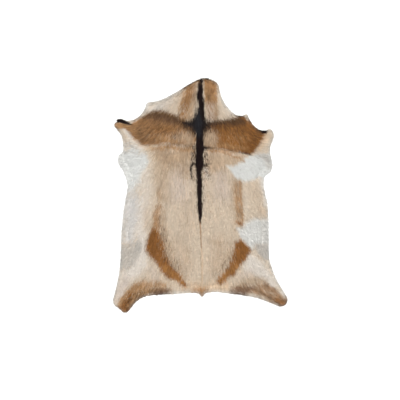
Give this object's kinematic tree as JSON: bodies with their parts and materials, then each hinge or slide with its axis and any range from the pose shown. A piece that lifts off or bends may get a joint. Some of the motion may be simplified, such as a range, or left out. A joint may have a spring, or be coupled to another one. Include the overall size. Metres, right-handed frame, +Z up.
{
  "type": "goatskin rug",
  "caption": "Whole goat hide with its hair on, tanned and laid flat as a small rug, with neck, leg stubs and tail tuft, and a black line and shoulder cross on tan and cream.",
  "frame": {"origin": "on the floor, under the middle of the hide's box", "axes": "+Y from tail to neck along the spine, +X to the right seen from above with the neck up, +Z up out of the hair side"},
  "size_m": [0.6982, 0.939, 0.0161],
  "materials": {
    "hide": "hair-on goatskin: tan, cream and white hair with a black line along the back, pale suede on the flesh side"
  },
  "bodies": {
    "root": {"hide": "hide"}
  },
  "joints": []
}
